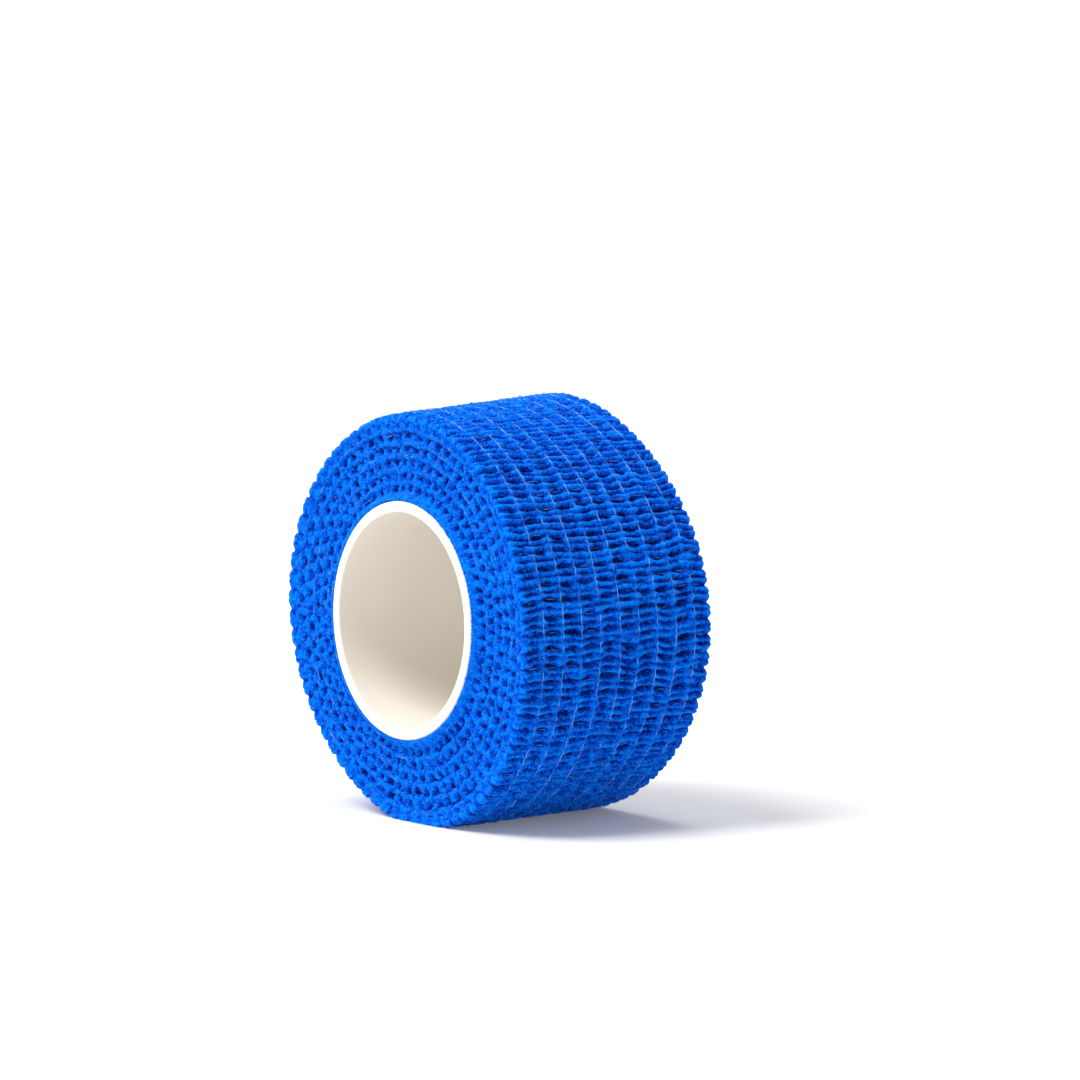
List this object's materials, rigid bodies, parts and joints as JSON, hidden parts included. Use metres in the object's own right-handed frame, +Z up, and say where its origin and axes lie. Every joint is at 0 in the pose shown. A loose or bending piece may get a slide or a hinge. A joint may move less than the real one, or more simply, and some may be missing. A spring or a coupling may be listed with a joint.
{
  "type": "cohesive bandage tape roll",
  "caption": "Narrow roll of crinkled self-adhering elastic bandage tape wound on a short plastic tube, standing on its winding.",
  "frame": {"origin": "middle of the small flat spot under the roll, on the surface it stands on", "axes": "+Z up, +Y along the roll's axis from its front end to its back end, +X across the roll"},
  "size_m": [0.0488, 0.026, 0.0481],
  "materials": {
    "crinkled_bandage": "matte puckered elastic nonwoven",
    "core_plastic": "satin moulded"
  },
  "bodies": {
    "root": {"tape_roll": "crinkled_bandage", "core": "core_plastic"}
  },
  "joints": []
}
